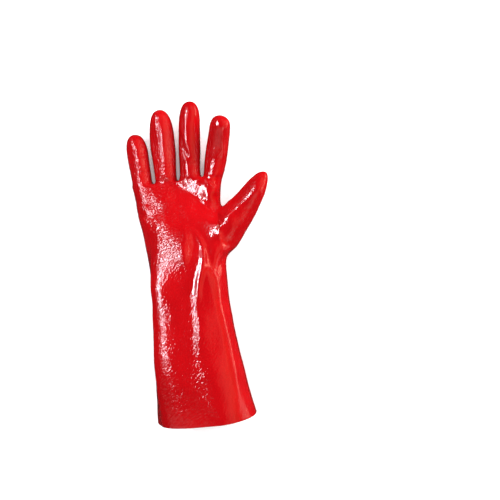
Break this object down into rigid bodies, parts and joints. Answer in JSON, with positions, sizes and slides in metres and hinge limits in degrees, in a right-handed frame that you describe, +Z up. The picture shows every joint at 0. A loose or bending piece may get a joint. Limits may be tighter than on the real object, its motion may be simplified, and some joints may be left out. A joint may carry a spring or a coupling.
{
  "type": "pvc coated work glove",
  "caption": "Long-sleeved coated gauntlet for the right hand, in one piece with separate fingers and an open cuff, lying palm up with its fingertips slightly curled.",
  "frame": {"origin": "middle of the glove seen from above, on the surface that it lies on", "axes": "+Y from the cuff towards the fingertips, +X towards the thumb, +Z up out of the palm"},
  "size_m": [0.171, 0.3796, 0.0666],
  "materials": {
    "pvc_coat": "glossy dipped PVC over a knitted liner, with a fine pebbled skin"
  },
  "bodies": {
    "root": {"glove": "pvc_coat"}
  },
  "joints": []
}
